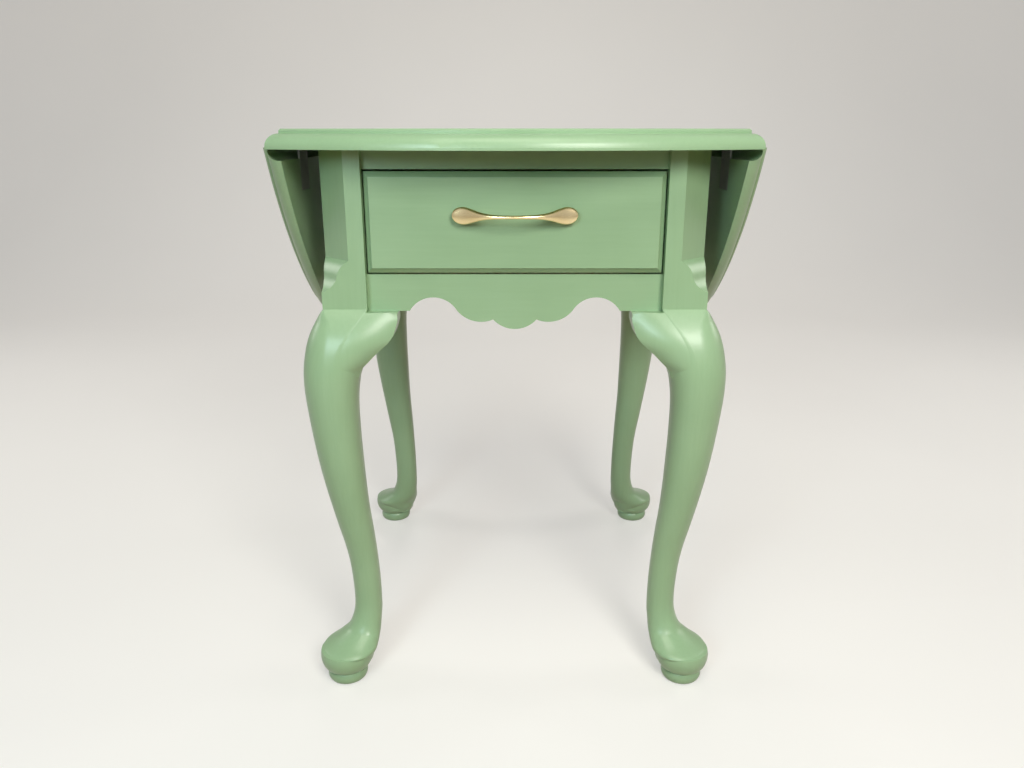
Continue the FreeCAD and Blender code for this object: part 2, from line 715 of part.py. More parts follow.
def rounded_square(centre, half, share, height):
    """A level square outline with rounded corners, the outermost one the roundest."""
    arcs = []
    for index, (across, up) in enumerate(((1, 1), (-1, 1), (-1, -1), (1, -1))):
        radius = half * (share if index else 1 - (1 - share) ** 2)
        slack = radius * math.sqrt(0.5)
        corner = V(centre + across * (half - radius), centre + up * (half - radius), height)
        ends = [corner + V(across * radius, 0, 0), corner + V(0, up * radius, 0)]
        first, last = ends if index % 2 == 0 else reversed(ends)
        arcs.append((first, corner + V(across * slack, up * slack, 0), last))
    edges = []
    for index, points in enumerate(arcs):
        following = arcs[(index + 1) % len(arcs)]
        edges += [arc(*points), line(points[-1], following[0])]
    return Part.Wire(edges)


def leg_sections():
    """Middle, half width, corner rounding and height of each leg section, from the post's outer corner."""
    knee_low_z = knee_z - size.knee_drop
    ankle_z = size.foot_rim_height * TOE_SHARES[0][0]
    rows = [(knee_z - size.knee_drop * down, *rest) for down, *rest in KNEE_SHARES]
    rows += [(ankle_z + (knee_low_z - ankle_z) * up, *rest) for up, *rest in SHIN_SHARES]
    places = [(height, size.knee_reach * out, size.leg_sweep * sweep - size.post_width, rounding)
              for height, out, sweep, rounding in rows]
    rim_radius = size.foot_rim_radius
    places += [(size.foot_rim_height * up, rim_radius * out, -rim_radius * inwards, rounding)
               for up, out, inwards, rounding in TOE_SHARES]
    return [(float(outer + inner) / 2, float(outer - inner) / 2, rounding, float(height))
            for height, outer, inner, rounding in places]


def cabriole():
    """The curved leg from the crease under its post down into its foot."""
    return Part.makeLoft([rounded_square(*section) for section in leg_sections()], True, False)


def smooth(spots):
    """A smooth curve through points."""
    curve = Part.BSplineCurve()
    curve.interpolate(spots)
    return curve


def pad_foot():
    """The turned foot under the post's outer corner: a crown in the leg, a bowl, a neck and a round base."""
    def point(radius, height):
        return V(float(radius), 0, float(height))

    rim = point(size.foot_rim_radius, size.foot_rim_height)
    neck = point(size.foot_neck_radius, size.foot_neck_height)
    rise = size.foot_rim_height - size.foot_neck_height
    bowl = [point(size.foot_rim_radius * across, size.foot_neck_height + rise * up)
            for across, up in BOWL_SHARES]
    crown = [point(size.foot_rim_radius * across, size.foot_rim_height + size.foot_crown_rise * up)
             for across, up in CROWN_SHARES]
    base_high = point(size.foot_neck_radius, size.foot_base_height)
    base_low = point(size.foot_neck_radius, size.glide_thickness)
    belly = point(size.foot_base_radius, (size.foot_base_height + size.glide_thickness) / 2)
    sole = point(ZERO, size.glide_thickness)
    edges = [smooth([neck] + bowl + [rim]).toShape(), smooth([rim] + crown).toShape(), line(crown[-1], sole),
             line(sole, base_low), arc(base_low, belly, base_high), line(base_high, neck)]
    return face_of(*edges).revolve(V(), V(0, 0, 1), 360)


def cant_tool():
    """What is cut off the post's outer corner: the cant and its tongue."""
    overrun, width = float(size.overrun), float(size.cant_width)
    shoulder = float(knee_z + size.cant_rise)
    diagonal, across = V(1, 1, 0).normalize(), V(1, -1, 0).normalize()

    def point(depth, height):
        return diagonal * -depth + V(0, 0, height) - across * width

    spots = [point(width * near * math.sqrt(0.5), shoulder - float(size.tongue_length) * down)
             for near, down in TONGUE_SHARES]
    ceiling = float(under_z) + overrun
    far_low, far_high = point(-overrun, spots[-1].z), point(-overrun, ceiling)
    high = point(width * math.sqrt(0.5), ceiling)
    edges = [arc(*spots[0:3]), arc(*spots[2:5]), line(spots[4], far_low), line(far_low, far_high),
             line(far_high, high), line(high, spots[0])]
    return face_of(*edges).extrude(across * (2 * width))


def leg_blank():
    width = size.post_width
    post = solid_box((-width, ZERO), (-width, ZERO), (knee_z, under_z)).cut(cant_tool())
    leg = post.fuse([cabriole(), pad_foot()])
    depth = float(size.glide_thickness + size.glide_nail_length + size.mortise_spare)
    return leg.cut(Part.makeCylinder(float(size.glide_nail_radius + size.screw_play), depth))


def leg_placement(side, end):
    turns = {(1, 1): 0, (-1, 1): 90, (-1, -1): 180, (1, -1): 270}
    corner = V(float(side * case_half_width), float(end * case_half_depth), 0)
    return FreeCAD.Placement(corner, FreeCAD.Rotation(V(0, 0, 1), turns[(side, end)]))


top_rail_z = (opening_high_z, under_z)
front_apron_z = (apron_low_z, opening_low_z)
full_apron_z = (apron_low_z, under_z)
# Height spans of the tenons; the front apron's one stays above its arches
TOP_RAIL_SHARE = 0.5
top_shoulder = size.tenon_shoulder * TOP_RAIL_SHARE
top_tenon_z = (opening_high_z + top_shoulder, under_z - top_shoulder)
front_tenon_z = (apron_low_z + size.scallop_depth, opening_low_z - size.tenon_shoulder)
full_tenon_z = (apron_low_z + size.tenon_shoulder, under_z - size.tenon_shoulder)


def mortises(side, end):
    """Mortise cutters of one leg, in the table's place."""
    depth = size.tenon_length + size.mortise_spare
    long_x = span_of(side, post_in_x - size.overrun, post_in_x + depth)
    cross_y = span_of(end, apron_in_y + cheek, apron_out_y - cheek)
    long_y = span_of(end, post_in_y - size.overrun, post_in_y + depth)
    cross_x = span_of(side, apron_in_x + cheek, apron_out_x - cheek)
    tools = [solid_box(cross_x, long_y, full_tenon_z)]
    if end > 0:
        tools.append(solid_box(long_x, cross_y, full_tenon_z))
    else:
        tools.append(solid_box(long_x, cross_y, top_tenon_z))
        tools.append(solid_box(long_x, cross_y, front_tenon_z))
    return tools


def knee_line():
    """The line down a leg's front face along which its corner rounding starts."""
    return smooth([V(middle - half * (1 - rounding), middle + half, height)
                   for middle, half, rounding, height in leg_sections()])


def ear_section(start_line, down, across, tip_lean, back_lean):
    """A level section of a knee block: a curve that falls from the knee to the tip, then flat sides."""
    height = float(apron_low_z - size.ear_drop * down)
    start = start_line.intersectCS(Part.Plane(V(0, 0, height), V(0, 0, 1)))[0][0]
    knee = V(start.X, start.Y - float(size.ear_inset), height)
    lip = float(size.ear_proud - size.apron_recess)
    back = -float(size.apron_recess + size.ear_depth)
    tip = V(-float(size.post_width + size.ear_reach) * across, lip + (knee.y - lip) * tip_lean, height)
    back = back + (knee.y - back) * back_lean
    curve = Part.BezierCurve()
    curve.setPoles([knee, V((knee.x + tip.x) / 2, knee.y, height), tip])
    corners = [tip, V(tip.x, back, height), V(knee.x, back, height), knee]
    return Part.Wire([curve.toShape()] + [line(*pair) for pair in zip(corners, corners[1:])])


def knee_block(leg):
    """The block that carries the knee on to the apron beside a leg, facing +Y."""
    start_line = knee_line()
    blank = Part.makeLoft([ear_section(start_line, *shares) for shares in EAR_SHARES], True, False)
    return max(blank.cut(leg).Solids, key=lambda solid: solid.Volume)


def make_legs():
    blank = leg_blank()
    facing = knee_block(blank)
    swap = FreeCAD.Matrix(0, 1, 0, 0, 1, 0, 0, 0, 0, 0, 1, 0, 0, 0, 0, 1)
    other = facing.transformGeometry(swap)
    for side_name, side in SIDES:
        for end_name, end in ENDS:
            placement = leg_placement(side, end)
            leg = blank.copy()
            for tool in mortises(side, end):
                leg = leg.cut(tool.transformGeometry(placement.inverse().toMatrix()))
            node(f"leg_{end_name}_{side_name}", shaped(leg, placement))
            along_x = facing if side * end > 0 else other
            along_y = other if side * end > 0 else facing
            node(f"knee_block_{end_name}_{side_name}", shaped(along_x.copy(), placement))
            node(f"knee_block_side_{end_name}_{side_name}", shaped(along_y.copy(), placement))


def make_glides():
    glides = []
    for _, side in SIDES:
        for _, end in ENDS:
            spot = (side * case_half_width, end * case_half_depth)
            disc = rod("z", (ZERO, size.glide_thickness), spot, size.glide_radius)
            nail_z = (size.glide_thickness, size.glide_thickness + size.glide_nail_length)
            glides.append(join(disc, rod("z", nail_z, spot, size.glide_nail_radius)))
    node("foot_glides", group(*glides))


# Rails and aprons with their tenons

def cross_rail(label, end, outline, tenon_span):
    """A rail that runs across the table, padded from its outline with a thinner full-length tenon board."""
    body = doc.addObject("PartDesign::Body", label)
    outer = apron_out_y if end < 0 else -apron_in_y
    pad(body, "XZ_Plane", outline, outer, size.apron_thickness, True)
    reach = post_in_x + size.tenon_length
    tenons = rectangle((-reach, tenon_span[0]), (reach, tenon_span[1]))
    pad(body, "XZ_Plane", tenons, outer - cheek, size.tenon_thickness, True)
    return node(label, body)


def rail_rectangle(span_z):
    return rectangle((-post_in_x, span_z[0]), (post_in_x, span_z[1]))


def scalloped(span_z):
    """The front apron's outline with its shaped lower edge."""
    spots = [(size.scallop_half * run, span_z[0] - size.scallop_depth * down) for run, down in SCALLOP_SHARES]
    mirrored = [(-x, z) for x, z in spots]
    start = (-post_in_x, span_z[0])
    steps = [(mirrored[0],), (mirrored[1], mirrored[2]), (mirrored[3], mirrored[4]), (spots[5], spots[4]),
             (spots[3], spots[2]), (spots[1], spots[0]), ((post_in_x, span_z[0]),),
             ((post_in_x, span_z[1]),), ((-post_in_x, span_z[1]),), (start,)]
    return start, steps


def make_rails():
    cross_rail("front_top_rail", -1, rail_rectangle(top_rail_z), top_tenon_z)
    cross_rail("front_apron", -1, scalloped(front_apron_z), front_tenon_z)
    cross_rail("back_apron", 1, rail_rectangle(full_apron_z), full_tenon_z)
    for name, side in SIDES:
        body = doc.addObject("PartDesign::Body", f"side_apron_{name}")
        inner = apron_in_x if side > 0 else -apron_out_x
        outline = rectangle((-post_in_y, full_apron_z[0]), (post_in_y, full_apron_z[1]))
        pad(body, "YZ_Plane", outline, inner, size.apron_thickness)
        reach = post_in_y + size.tenon_length
        tenons = rectangle((-reach, full_tenon_z[0]), (reach, full_tenon_z[1]))
        pad(body, "YZ_Plane", tenons, inner + cheek, size.tenon_thickness)
        hole = body.newObject("Sketcher::SketchObject", "screw_hole")
        hole.AttachmentSupport = [(own_plane(body, "YZ_Plane"), "")]
        hole.MapMode = "FlatFace"
        bind(hole, "AttachmentOffset.Base.z", side * apron_out_x)
        spot = hook_screw_place()
        bore = size.screw_radius + size.screw_play
        hole.addGeometry(Part.Circle(flat(spot), V(0, 0, 1), float(bore)), False)
        hold_point(hole, 0, 3, spot, "middle")
        index = hole.addConstraint(Sketcher.Constraint("Radius", 0, float(bore)))
        hole.renameConstraint(index, "bore")
        bind(hole, "Constraints.bore", bore)
        pocket = body.newObject("PartDesign::Pocket", "pocket")
        pocket.Profile = hole
        pocket.Reversed = side < 0
        bind(pocket, "Length", size.screw_bite + size.mortise_spare)
        doc.recompute()
        node(f"side_apron_{name}", body)


# Drawer supports and the cleats that hold the top

def make_supports():
    runner_z = (opening_low_z - size.runner_height, opening_low_z)
    guide_z = (opening_low_z, opening_low_z + size.guide_height)
    for name, side in SIDES:
        ledge_x = span_of(side, post_in_x - size.runner_ledge, post_in_x)
        rest_x = span_of(side, post_in_x, apron_in_x)
        ledge = block(ledge_x, (-apron_in_y, apron_in_y), runner_z)
        rest = block(rest_x, (-post_in_y, post_in_y), runner_z)
        node(f"drawer_runner_{name}", join(ledge, rest))
        node(f"drawer_guide_{name}", block(rest_x, (-post_in_y, post_in_y), guide_z))
        stop_x = span_of(side, post_in_x - size.drawer_side_gap - size.drawer_side_thickness, post_in_x)
        stop_y = (drawer_rear_y + size.running_gap, drawer_rear_y + size.running_gap + size.stop_length)
        node(f"drawer_stop_{name}", block(stop_x, stop_y, (opening_low_z, opening_low_z + size.stop_height)))
        cleat_x = span_of(side, apron_in_x - size.cleat_width, apron_in_x)
        cleat = block(cleat_x, (-post_in_y, post_in_y), top_rail_z)
        sinks = []
        for x, y in top_screw_places(side):
            sinks.append(top_screw_head(x, y, size.screw_play))
            sinks.append(rod("z", top_rail_z, (x, y), size.top_screw_radius + size.screw_play))
        node(f"top_cleat_{name}", carve(cleat, *sinks))
    kicker_x = (-size.kicker_width / 2, size.kicker_width / 2)
    node("drawer_kicker", block(kicker_x, (-apron_in_y, apron_in_y), top_rail_z))


def top_screw_head(x, y, play):
    span = (opening_high_z, opening_high_z + size.top_screw_head_height)
    return taper("z", span, (x, y), size.top_screw_head_radius + play, size.top_screw_radius + play)


def make_top_screws():
    screws = []
    for _, side in SIDES:
        for x, y in top_screw_places(side):
            neck = opening_high_z + size.top_screw_head_height
            tip = under_z + size.top_screw_bite - size.mortise_spare
            shank = rod("z", (neck, tip), (x, y), size.top_screw_radius)
            screws.append(join(top_screw_head(x, y, ZERO), shank))
    node("top_screws", group(*screws))


# Drawer

drawer_half = post_in_x - size.drawer_side_gap
drawer_face_y = size.drawer_front_inset - case_half_depth
drawer_back_y = drawer_face_y + size.drawer_front_thickness
drawer_rear_y = apron_in_y - size.drawer_rear_gap
drawer_low_z = opening_low_z + size.running_gap
side_z = (drawer_low_z, opening_high_z - size.drawer_side_drop)
front_z = (opening_low_z + size.drawer_gap, opening_high_z - size.drawer_gap)
drawer_in_x = drawer_half - size.drawer_side_thickness
bottom_z = (drawer_low_z + size.drawer_bottom_rise, drawer_low_z + size.drawer_bottom_rise
            + size.drawer_bottom_thickness)
groove_z = (bottom_z[0] - size.groove_play, bottom_z[1] + size.groove_play)
pull_z = (front_z[0] + front_z[1]) / 2 + size.pull_rise


def tails(side):
    """Dovetails that run from a drawer side into the back of the drawer front."""
    pieces = []
    xs = span_of(side, drawer_in_x, drawer_half)
    for share in TAIL_SHARES:
        middle = side_z[0] + (side_z[1] - side_z[0]) * share
        item = doc.addObject("Part::Wedge", "tail")
        wide, narrow = size.tail_height / 2, size.tail_height / 2 - size.tail_slope
        lengths = (("Xmin", xs[0]), ("X2min", xs[0]), ("Xmax", xs[1]), ("X2max", xs[1]),
                   ("Ymin", drawer_back_y - size.tail_length), ("Ymax", drawer_back_y),
                   ("Zmin", middle - wide), ("Zmax", middle + wide),
                   ("Z2min", middle - narrow), ("Z2max", middle + narrow))
        for path, length in lengths:
            bind(item, path, length)
        pieces.append(item)
    return pieces


def make_drawer_front():
    body = doc.addObject("PartDesign::Body", "drawer_front_board")
    low, high = (-drawer_half, front_z[0]), (drawer_half, front_z[1])
    depth = size.drawer_front_thickness - size.field_step
    board = pad(body, "XZ_Plane", rectangle(low, high), -drawer_back_y, depth)
    body.Tip = board
    middle = float(drawer_back_y - depth / 2)
    edges = [f"Edge{index}" for index, edge in enumerate(board.Shape.Edges, start=1)
             if edge.BoundBox.YMax < middle]
    bevel = body.newObject("PartDesign::Chamfer", "border")
    bevel.Base = (board, edges)
    bind(bevel, "Size", size.border_bevel)
    doc.recompute()
    border = size.border_width
    field = rectangle((low[0] + border, low[1] + border), (high[0] - border, high[1] - border))
    pad(body, "XZ_Plane", field, -drawer_face_y, size.field_step + size.border_bevel, True)
    tools = [block((-drawer_in_x - size.groove_depth, drawer_in_x + size.groove_depth),
                   (drawer_back_y - size.groove_depth, drawer_back_y), groove_z)]
    for _, side in SIDES:
        tools.extend(tails(side))
        spot = (side * size.pull_spacing / 2, pull_z)
        bore = size.pull_screw_radius + size.pull_screw_play
        tools.append(rod("y", (drawer_face_y - size.overrun, drawer_back_y), spot, bore))
    node("drawer_front", carve(body, *tools))


def make_drawer_box():
    back_face_y = drawer_rear_y - size.groove_depth
    back_y = (back_face_y - size.drawer_side_thickness, back_face_y)
    for name, side in SIDES:
        board = block(span_of(side, drawer_in_x, drawer_half), (drawer_back_y, drawer_rear_y), side_z)
        groove_x = span_of(side, drawer_in_x, drawer_in_x + size.groove_depth)
        groove = block(groove_x, (drawer_back_y, drawer_rear_y), groove_z)
        housing = block(groove_x, back_y, (bottom_z[1], side_z[1]))
        node(f"drawer_side_{name}", carve(join(board, *tails(side)), groove, housing))
    half = drawer_in_x + size.groove_depth
    back = block((-half, half), back_y, (groove_z[1], side_z[1]))
    node("drawer_back", back)
    sheet_half = half - size.groove_play
    bottom_y = (drawer_back_y - size.groove_depth + size.groove_play, drawer_rear_y - size.groove_depth)
    node("drawer_bottom", block((-sheet_half, sheet_half), bottom_y, bottom_z))


# Drawer pull

def pull_point(shares):
    return V(float(size.pull_half_length) * shares[0], float(drawer_face_y)
             - float(size.pull_projection) * shares[1], float(pull_z))


def pull_section(before, at, after, height, thickness):
    """An oval section square to the pull's path."""
    run = (after - before).normalize()
    out = V(run.y, -run.x, 0)
    matrix = FreeCAD.Matrix(out.x * thickness / 2, 0, run.x, at.x, out.y * thickness / 2, 0, run.y, at.y,
                            0, height / 2, 0, at.z, 0, 0, 0, 1)
    circle = Part.Wire(Part.Circle(V(), V(0, 0, 1), 1).toShape())
    return circle.transformGeometry(matrix)


def make_pull():
    left = [(-run, *rest) for run, *rest in PULL_SHARES]
    rows = left + list(reversed(PULL_SHARES[:-1]))
    points = [pull_point(row) for row in rows]
    wires = []
    for index, row in enumerate(rows):
        before, after = points[max(index - 1, 0)], points[min(index + 1, len(points) - 1)]
        wires.append(pull_section(before, points[index], after, float(size.pull_lobe_height) * row[2],
                                  float(size.pull_lobe_thickness) * row[3]))
    bow = Part.makeLoft(wires, True, False)
    face = float(drawer_face_y)
    for _, side in SIDES:
        spot = V(float(side * size.pull_spacing / 2), face, float(pull_z))
        reach = float(size.pull_projection) * PULL_SHARES[3][1]
        bow = bow.fuse(Part.makeCylinder(float(size.pull_post_radius), reach, spot, V(0, -1, 0)))
        bore = float(size.pull_screw_radius + size.pull_screw_play)
        depth = float(size.pull_screw_bite + size.mortise_spare)
        bow = bow.cut(Part.makeCylinder(bore, depth, spot, V(0, -1, 0)))
    node("drawer_pull", shaped(bow))


def make_pull_screws():
    screws = []
    for _, side in SIDES:
        spot = (side * size.pull_spacing / 2, pull_z)
        shank = rod("y", (drawer_face_y - size.pull_screw_bite, drawer_back_y), spot, size.pull_screw_radius)
        head = rod("y", (drawer_back_y, drawer_back_y + size.pull_head_height), spot, size.pull_head_radius)
        screws.append(join(shank, head))
    node("pull_screws", group(*screws))


make_top()
make_legs()
make_glides()
make_rails()
make_supports()
make_top_screws()
make_drawer_front()
make_drawer_box()
make_pull()
make_pull_screws()
for side_name, side_sign in SIDES:
    make_leaf(side_name, side_sign)
    make_hinges(side_name, side_sign)
    make_stay(side_name, side_sign)
make_hinge_table_screws()
make_stay_apron_screws()
doc.recompute()

for item in doc.Objects:
    if "Invalid" in item.State or "Error" in item.State:
        raise RuntimeError(f"{item.Label} did not build")
for item in nodes:
    if item.Shape.isNull() or not item.Shape.isValid() or not item.Shape.Solids:
        raise RuntimeError(f"{item.Label} has no sound shape")

os.makedirs("parts", exist_ok=True)
for item in nodes:
    item.Shape.exportStep(f"parts/{item.Label}.step")
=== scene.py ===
import json
import math

import bmesh
import bpy
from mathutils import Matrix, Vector


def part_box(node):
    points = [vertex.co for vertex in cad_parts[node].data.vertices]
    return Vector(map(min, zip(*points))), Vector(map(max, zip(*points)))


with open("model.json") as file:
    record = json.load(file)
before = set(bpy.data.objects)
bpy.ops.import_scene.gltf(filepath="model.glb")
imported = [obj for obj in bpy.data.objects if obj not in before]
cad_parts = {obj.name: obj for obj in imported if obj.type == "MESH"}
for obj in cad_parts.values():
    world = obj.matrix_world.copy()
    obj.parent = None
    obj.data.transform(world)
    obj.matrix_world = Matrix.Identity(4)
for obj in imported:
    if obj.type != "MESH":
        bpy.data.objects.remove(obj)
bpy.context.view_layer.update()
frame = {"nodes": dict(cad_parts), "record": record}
NODES = frame["nodes"]
SLOTS = {row["node"]: row["material_slot"] for row in frame["record"]["subparts"]}

# Camera, fitted to the photograph's frame of 1024 by 768: sensor and lens in millimetres, place in metres
SENSOR = 36.0
LENS = 28.23
CAMERA_AT = (-0.0027, -0.9443, 0.5726)
CAMERA_PITCH = math.radians(17.455)

# Colours as linear red, green and blue
SAGE = (0.292, 0.440, 0.254)
SAGE_DEEP = (0.266, 0.407, 0.228)
SAGE_PALE = (0.316, 0.467, 0.278)
PINE = (0.560, 0.370, 0.200)
PINE_DARK = (0.400, 0.235, 0.110)
GOLD = (0.860, 0.700, 0.400)
GOLD_DEEP = (0.780, 0.610, 0.320)
STEEL = (0.500, 0.490, 0.460)
STEEL_DARK = (0.420, 0.410, 0.390)
PALE_FLOOR = (0.520, 0.508, 0.490)
FLOOR_BOUNCE = (0.360, 0.250, 0.120)
SKY = (0.95, 0.96, 1.0)

# Width of each pattern's spots, in metres
PAINT_CLOUD = 0.09
BRUSH_MARK = 0.0035
PINE_RING = 0.022
PINE_FIBRE = 0.0016
METAL_CLOUD = 0.02
METAL_SCRATCH = 0.0012
FLOOR_CLOUD = 0.6

# Scale of a pattern along x, y and z: even, or drawn out along the grain
EVEN = (1.0, 1.0, 1.0)
ALONG_GRAIN = 0.06
GRAIN = {"x": (ALONG_GRAIN, 1.0, 1.0), "y": (1.0, ALONG_GRAIN, 1.0), "z": (1.0, 1.0, ALONG_GRAIN)}

# Positions and colours along a pattern, from its low spots to its high ones
PAINT_BROAD = ((0.3, SAGE_DEEP), (0.5, SAGE), (0.72, SAGE_PALE))
PAINT_FINE = ((0.25, SAGE_DEEP), (0.55, SAGE), (0.85, SAGE_PALE))
PINE_BROAD = ((0.35, PINE), (0.52, PINE_DARK), (0.6, PINE))
PINE_FINE = ((0.3, PINE_DARK), (0.6, PINE))
# Positions of the two tones where a pattern has only a deep and a pale one
DEEP_END = 0.3
PALE_END = 0.7
# Brightness of the floor's deep tone, as a share of its pale one
FLOOR_DEEP = 0.98

# Share of the fine pattern in a piece's colour
BRUSH_SHARE = 0.4
FIBRE_SHARE = 0.35

# Roughness of the smoothest and the roughest spots
PAINT_ROUGHNESS = (0.27, 0.37)
PINE_ROUGHNESS = (0.55, 0.75)
PULL_ROUGHNESS = (0.22, 0.26)
HINGE_ROUGHNESS = (0.36, 0.48)
STAY_ROUGHNESS = (0.42, 0.55)
GLIDE_ROUGHNESS = (0.3, 0.42)
FLOOR_ROUGHNESS = 0.8

# Fine relief: its strength, and its depth in metres
BRUSH_RELIEF = (0.08, 0.0005)
FIBRE_RELIEF = (0.12, 0.0004)

# Stage in metres: half its width, its front edge, where it starts to sweep up, how wide, and its top
STAGE_REACH = 8.0
STAGE_NEAR = -8.0
STAGE_FAR = 1.5
SWEEP_RADIUS = 1.0
BACKDROP_TOP = 3.5
# Number of flat strips in the sweep
SWEEP_STEPS = 24
# Light that the stage adds to its own colour, as the camera and shiny surfaces see it
STAGE_GLOW = 0.78

# World light on the object, and as the camera and shiny surfaces see it
SKY_LEVEL = 0.015
SKY_SEEN = 0.6

# Lamps: place and width in metres, power in watts, and tint
SOFT_WHITE = (1.0, 0.98, 0.94)
LAMPS = {
    "key": ((0.5, -1.5, 1.2), 0.6, 17.5, (1.0, 0.99, 0.94)),
    "window": ((-0.6, -1.6, 0.95), 0.5, 10.0, (0.70, 0.90, 1.0)),
    "ceiling": ((0.0, -1.1, 2.4), 1.4, 22.0, (1.0, 0.97, 0.84)),
    "rear": ((0.0, 1.9, 1.9), 1.0, 11.0, SOFT_WHITE),
    "side_left": ((-1.9, 0.4, 1.1), 0.8, 7.0, SOFT_WHITE),
    "side_right": ((1.9, 0.4, 1.1), 0.8, 7.0, SOFT_WHITE),
}
LAMP_AIM = (0.0, 0.0, 0.4)


class Shader:
    """A material's node tree with the few calls that are needed here."""

    def __init__(self, name):
        self.material = bpy.data.materials.new(name)
        self.material.use_nodes = True
        self.tree = self.material.node_tree
        self.bsdf = self.tree.nodes["Principled BSDF"]

    def add(self, kind, **settings):
        made = self.tree.nodes.new(kind)
        for key, value in settings.items():
            setattr(made, key, value)
        return made

    def link(self, source, target):
        self.tree.links.new(source, target)

    def place(self, scale):
        """Object coordinates in metres, scaled along each axis."""
        coords = self.add("ShaderNodeTexCoord")
        mapping = self.add("ShaderNodeMapping")
        mapping.inputs["Scale"].default_value = scale
        self.link(coords.outputs["Object"], mapping.inputs["Vector"])
        return mapping.outputs["Vector"]

    def noise(self, scale, size, detail=3.0, rough=0.55, distort=0.0):
        """Noise whose spots are about that many metres wide."""
        made = self.add("ShaderNodeTexNoise")
        made.inputs["Scale"].default_value = 1.0 / size
        made.inputs["Detail"].default_value = detail
        made.inputs["Roughness"].default_value = rough
        made.inputs["Distortion"].default_value = distort
        self.link(self.place(scale), made.inputs["Vector"])
        return made.outputs["Fac"]

    def ramp(self, factor, stops):
        """Colours along a factor, each stop a position and a colour."""
        made = self.add("ShaderNodeValToRGB")
        band = made.color_ramp
        while len(band.elements) < len(stops):
            band.elements.new(1.0)
        for element, (position, colour) in zip(band.elements, stops):
            element.position = position
            element.color = (*colour, 1.0)
        self.link(factor, made.inputs["Fac"])
        return made.outputs["Color"]

    def spread(self, factor, limits):
        """A factor from 0 to 1 spread between two limits."""
        made = self.add("ShaderNodeMapRange")
        made.inputs["To Min"].default_value, made.inputs["To Max"].default_value = limits
        self.link(factor, made.inputs["Value"])
        return made.outputs["Result"]

    def blend(self, share, first, second):
        """The first colour with a share of the second one."""
        made = self.add("ShaderNodeMix", data_type="RGBA")
        made.inputs["Factor"].default_value = share
        self.link(first, made.inputs["A"])
        self.link(second, made.inputs["B"])
        return made.outputs["Result"]

    def bump(self, height, relief):
        """A fine relief from a pattern."""
        made = self.add("ShaderNodeBump")
        made.inputs["Strength"].default_value, made.inputs["Distance"].default_value = relief
        self.link(height, made.inputs["Height"])
        self.link(made.outputs["Normal"], self.bsdf.inputs["Normal"])

    def set(self, name, value):
        self.bsdf.inputs[name].default_value = value

    def feed(self, name, source):
        self.link(source, self.bsdf.inputs[name])


def two_tones(deep, pale):
    """Stops of a ramp from a deep tone to a pale one."""
    return ((DEEP_END, deep), (PALE_END, pale))


def sage_paint(name, grain):
    """Satin sage paint with faint brush marks along the piece."""
    made = Shader(name)
    cloud = made.noise(EVEN, PAINT_CLOUD, detail=2.0)
    brush = made.noise(GRAIN[grain], BRUSH_MARK, detail=4.0, rough=0.6)
    broad = made.ramp(cloud, PAINT_BROAD)
    fine = made.ramp(brush, PAINT_FINE)
    made.feed("Base Color", made.blend(BRUSH_SHARE, broad, fine))
    made.feed("Roughness", made.spread(brush, PAINT_ROUGHNESS))
    made.bump(brush, BRUSH_RELIEF)
    return made.material


def bare_pine(name, grain):
    """Unpainted softwood inside the case."""
    made = Shader(name)
    rings = made.noise(GRAIN[grain], PINE_RING, distort=0.4)
    fibre = made.noise(GRAIN[grain], PINE_FIBRE)
    broad = made.ramp(rings, PINE_BROAD)
    fine = made.ramp(fibre, PINE_FINE)
    made.feed("Base Color", made.blend(FIBRE_SHARE, broad, fine))
    made.feed("Roughness", made.spread(fibre, PINE_ROUGHNESS))
    made.bump(fibre, FIBRE_RELIEF)
    return made.material


def satin_metal(name, pale, deep, roughness):
    """Metal with a cloudy tone and fine scratches that vary its shine."""
    made = Shader(name)
    cloud = made.noise(EVEN, METAL_CLOUD, detail=2.0)
    scratch = made.noise(GRAIN["x"], METAL_SCRATCH, detail=2.0)
    made.feed("Base Color", made.ramp(cloud, two_tones(deep, pale)))
    made.feed("Roughness", made.spread(scratch, roughness))
    made.set("Metallic", 1.0)
    return made.material


def seen_rays(tree):
    """1 for rays from the camera, a shiny or a clear surface, 0 for light that bounces about."""
    path = tree.nodes.new("ShaderNodeLightPath")
    total = path.outputs["Is Camera Ray"]
    for name in ("Is Glossy Ray", "Is Transmission Ray"):
        larger = tree.nodes.new("ShaderNodeMath")
        larger.operation = "MAXIMUM"
        tree.links.new(total, larger.inputs[0])
        tree.links.new(path.outputs[name], larger.inputs[1])
        total = larger.outputs[0]
    return total


def pale_stage():
    """A floor that looks pale and keeps its shadow, and throws back no more light than a rug does."""
    made = Shader("pale_stage")
    cloud = made.noise(EVEN, FLOOR_CLOUD, detail=2.0)
    deep = tuple(channel * FLOOR_DEEP for channel in PALE_FLOOR)
    pale = made.ramp(cloud, two_tones(deep, PALE_FLOOR))
    seen = seen_rays(made.tree)
    shade = made.add("ShaderNodeMix", data_type="RGBA")
    shade.inputs["A"].default_value = (*FLOOR_BOUNCE, 1.0)
    made.link(seen, shade.inputs["Factor"])
    made.link(pale, shade.inputs["B"])
    glow = made.add("ShaderNodeMath", operation="MULTIPLY")
    glow.inputs[1].default_value = STAGE_GLOW
    made.link(seen, glow.inputs[0])
    made.set("Roughness", FLOOR_ROUGHNESS)
    made.feed("Base Color", shade.outputs["Result"])
    made.feed("Emission Color", pale)
    made.feed("Emission Strength", glow.outputs[0])
    return made.material


def grain_of(node):
    """The axis along which a piece's grain runs: its longest side."""
    low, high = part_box(node)
    sides = list(high - low)
    return "xyz"[sides.index(max(sides))]


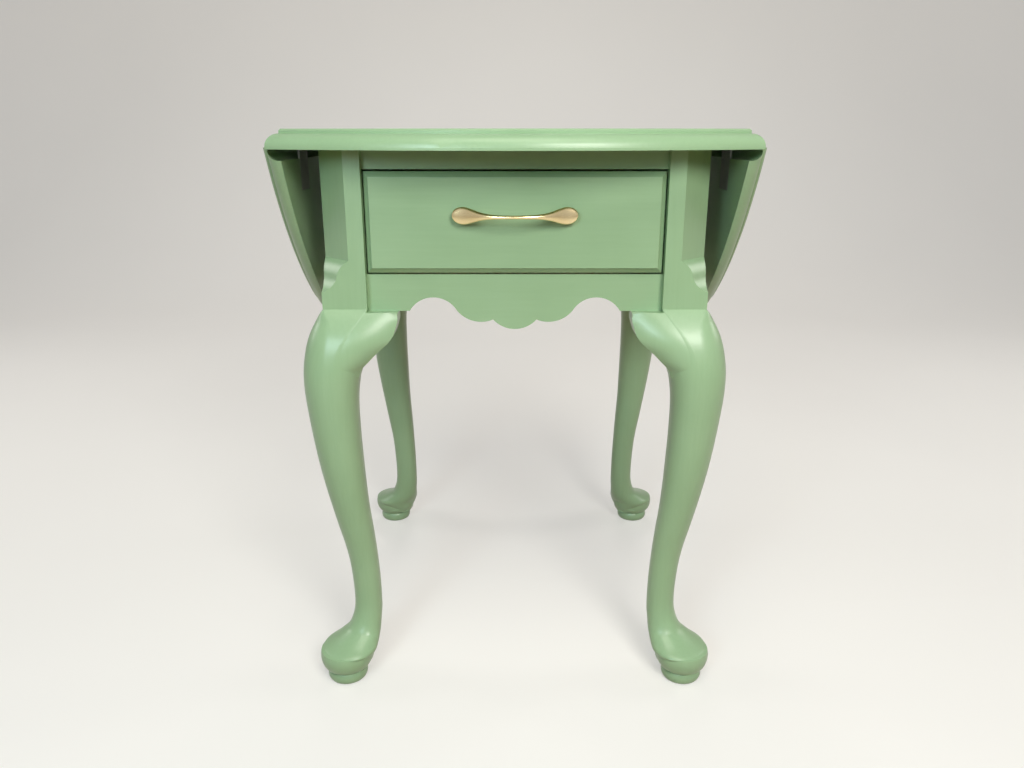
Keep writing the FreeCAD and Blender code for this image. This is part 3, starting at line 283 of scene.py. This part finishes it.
def dress():
    """Give every CAD node its material."""
    metals = {
        "pull_metal": satin_metal("pull_gold", GOLD, GOLD_DEEP, PULL_ROUGHNESS),
        "hinge_steel": satin_metal("hinge_steel", STEEL, STEEL_DARK, HINGE_ROUGHNESS),
        "stay_steel": satin_metal("stay_steel", STEEL, STEEL_DARK, STAY_ROUGHNESS),
        "glide_steel": satin_metal("glide_steel", STEEL, STEEL_DARK, GLIDE_ROUGHNESS),
    }
    makers = {"painted_wood": sage_paint, "bare_wood": bare_pine}
    woods = {(slot, grain): maker(f"{slot}_{grain}", grain)
             for slot, maker in makers.items() for grain in GRAIN}
    for name, piece in NODES.items():
        slot = SLOTS[name]
        finish = metals.get(slot) or woods[(slot, grain_of(name))]
        piece.data.materials.clear()
        piece.data.materials.append(finish)


def make_stage():
    """A pale floor that sweeps up into a backdrop."""
    profile = [(STAGE_NEAR, 0.0), (STAGE_FAR, 0.0)]
    for step in range(1, SWEEP_STEPS + 1):
        turn = math.pi / 2 * step / SWEEP_STEPS
        rise = SWEEP_RADIUS - SWEEP_RADIUS * math.cos(turn)
        profile.append((STAGE_FAR + SWEEP_RADIUS * math.sin(turn), rise))
    profile.append((STAGE_FAR + SWEEP_RADIUS, BACKDROP_TOP))
    mesh = bmesh.new()
    rows = [[mesh.verts.new((side * STAGE_REACH, y, z)) for side in (-1, 1)] for y, z in profile]
    for first, last in zip(rows, rows[1:]):
        face = mesh.faces.new((first[0], first[1], last[1], last[0]))
        face.smooth = True
    data = bpy.data.meshes.new("stage")
    mesh.to_mesh(data)
    mesh.free()
    data.materials.append(pale_stage())
    backdrop = bpy.data.objects.new("stage", data)
    bpy.context.scene.collection.objects.link(backdrop)


def make_lamps():
    """Round soft lamps that face the table."""
    for name, (at, width, watts, tint) in LAMPS.items():
        data = bpy.data.lights.new(name, "AREA")
        data.shape = "DISK"
        data.size = width
        data.energy = watts
        data.color = tint
        lamp = bpy.data.objects.new(name, data)
        lamp.location = at
        lamp.rotation_euler = (Vector(LAMP_AIM) - Vector(at)).to_track_quat("-Z", "Y").to_euler()
        bpy.context.scene.collection.objects.link(lamp)


def make_sky():
    """A world that looks pale and adds only a little light."""
    world = bpy.data.worlds.new("studio")
    bpy.context.scene.world = world
    world.use_nodes = True
    tree = world.node_tree
    sky = tree.nodes["Background"]
    sky.inputs["Color"].default_value = (*SKY, 1.0)
    level = tree.nodes.new("ShaderNodeMapRange")
    level.inputs["To Min"].default_value = SKY_LEVEL
    level.inputs["To Max"].default_value = SKY_SEEN
    tree.links.new(seen_rays(tree), level.inputs["Value"])
    tree.links.new(level.outputs["Result"], sky.inputs["Strength"])


def make_camera():
    """The photograph's camera, level across and tilted down."""
    data = bpy.data.cameras.new("camera")
    data.sensor_width = SENSOR
    data.lens = LENS
    camera = bpy.data.objects.new("camera", data)
    camera.location = CAMERA_AT
    camera.rotation_euler = (math.pi / 2 - CAMERA_PITCH, 0.0, 0.0)
    bpy.context.scene.collection.objects.link(camera)
    bpy.context.scene.camera = camera


dress()
make_stage()
make_lamps()
make_sky()
make_camera()
bpy.context.scene.view_settings.view_transform = "Standard"
